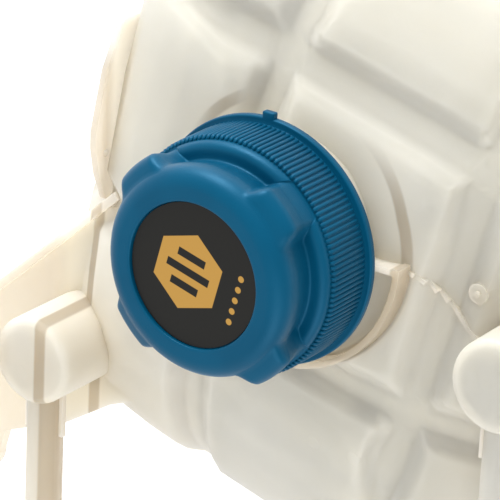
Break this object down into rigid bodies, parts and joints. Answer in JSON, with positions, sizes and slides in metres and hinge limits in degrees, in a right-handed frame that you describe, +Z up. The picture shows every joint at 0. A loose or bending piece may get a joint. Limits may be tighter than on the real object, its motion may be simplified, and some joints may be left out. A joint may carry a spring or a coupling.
{
  "type": "coolant expansion tank",
  "caption": "Translucent moulded coolant expansion tank with hose spigots, a mounting ear and a lobed blue screw cap that holds its pressure and vacuum valves.",
  "frame": {"origin": "midway between the two screw holes of the mounting ear, on the ear's underside", "axes": "+Z up along the filler neck, -Y the way the hose spigots point, +X from the ear towards the tank"},
  "size_m": [0.246, 0.2444, 0.1708],
  "materials": {
    "tank_plastic": "translucent natural polypropylene",
    "cap_plastic": "satin blue moulding",
    "label_print": "black printed film with ochre shapes",
    "insert_plastic": "dark glass-filled moulding",
    "valve_plastic": "natural acetal moulding",
    "seal_rubber": "matt rubber",
    "spring_steel": "bright spring wire"
  },
  "bodies": {
    "tank": {"upper_shell": "tank_plastic", "lower_shell": "tank_plastic"},
    "valve_insert": {"valve_body": "insert_plastic", "valve_cover": "valve_plastic", "upper_seal_ring": "seal_rubber", "lower_seal_ring": "seal_rubber", "pressure_spring": "spring_steel"},
    "cap": {"cap_shell": "cap_plastic", "cap_label": "label_print"},
    "pressure_valve": {"pressure_piston": "valve_plastic", "pressure_seal": "seal_rubber", "vacuum_spring": "spring_steel"},
    "vacuum_valve": {"vacuum_poppet": "valve_plastic", "vacuum_seal": "seal_rubber", "vacuum_washer": "valve_plastic"}
  },
  "joints": [
    {"name": "cap_rise", "type": "slide", "parent": "tank", "child": "valve_insert", "axis": [0, 0, 1], "range_m": [0, 0.0272]},
    {"name": "cap_turn", "type": "hinge", "parent": "valve_insert", "child": "cap", "pos_m": [0.128, 0.097, 0.05], "axis": [0, 0, 1], "range_deg": [0, 1620]},
    {"name": "pressure_open", "type": "slide", "parent": "valve_insert", "child": "pressure_valve", "axis": [0, 0, 1], "range_m": [0, 0.004], "stiffness_N_per_m": 100, "springref_m": -0.004, "deforming": ["pressure_spring"]},
    {"name": "vacuum_open", "type": "slide", "parent": "pressure_valve", "child": "vacuum_valve", "axis": [0, 0, -1], "range_m": [0, 0.0015], "stiffness_N_per_m": 20, "springref_m": -0.002, "deforming": ["vacuum_spring"]}
  ],
  "couplings": [
    {"joint": "cap_rise", "follows": "cap_turn", "m_per_rad": 0.00095493}
  ]
}
